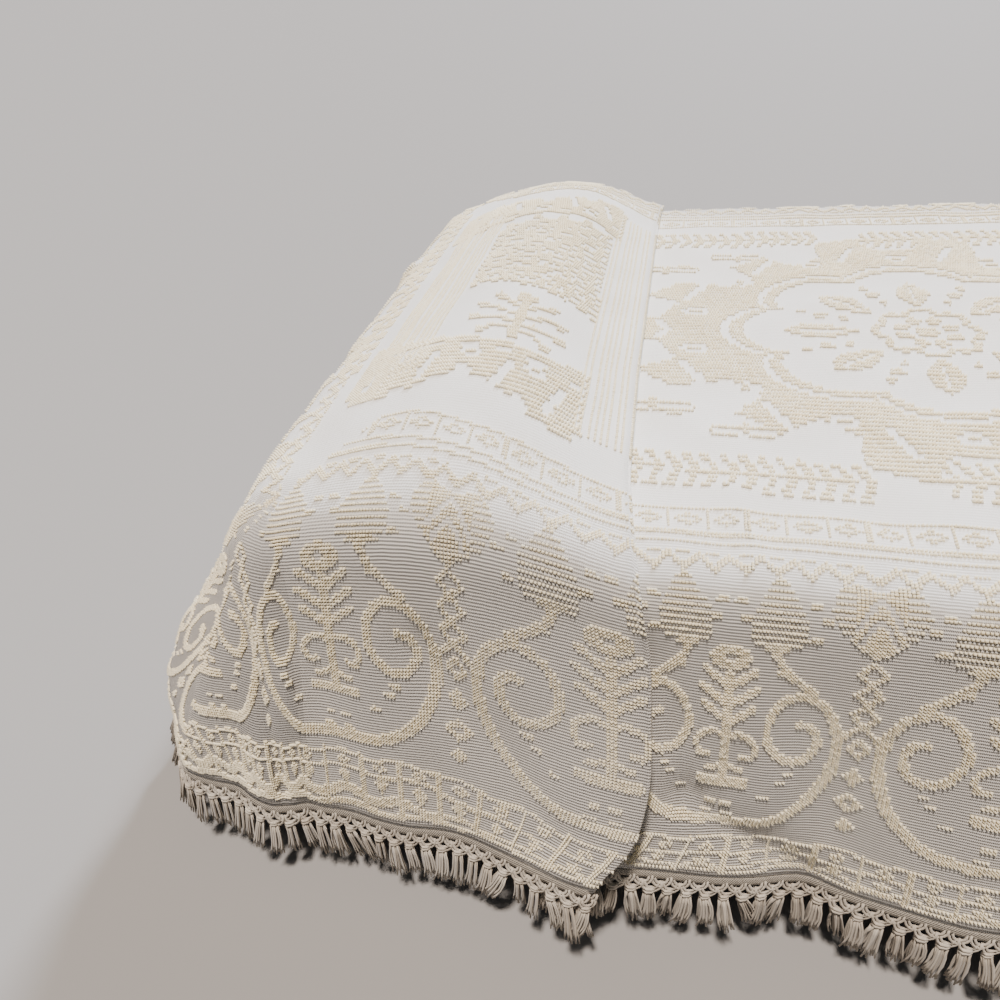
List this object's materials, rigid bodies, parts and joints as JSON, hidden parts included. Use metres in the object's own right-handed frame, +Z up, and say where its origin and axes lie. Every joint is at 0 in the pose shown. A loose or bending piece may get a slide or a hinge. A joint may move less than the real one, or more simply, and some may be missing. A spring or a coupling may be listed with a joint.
{
  "type": "bedspread on a double bed",
  "caption": "Loop-pile cotton bedspread with a knotted fringe, drawn over pillows and folded in front of them, on a plain double bed.",
  "frame": {"origin": "on the floor, under the centre of the whole piece's box", "axes": "+X from the head of the bed to its foot, -Y towards the near long side, +Z up"},
  "size_m": [2.4038, 1.874, 0.7099],
  "materials": {
    "pile_cotton": "matt cream cotton with a raised loop pile",
    "fringe_yarn": "matt cream cotton cord and cut yarn",
    "mattress_ticking": "matt white ticking",
    "base_cloth": "matt grey upholstery",
    "pillowcase": "matt white cotton"
  },
  "bodies": {
    "root": {"bedspread_cloth": "pile_cotton", "knotted_fringe": "fringe_yarn", "mattress": "mattress_ticking", "bed_base": "base_cloth", "pillow_near": "pillowcase", "pillow_far": "pillowcase"}
  },
  "joints": []
}
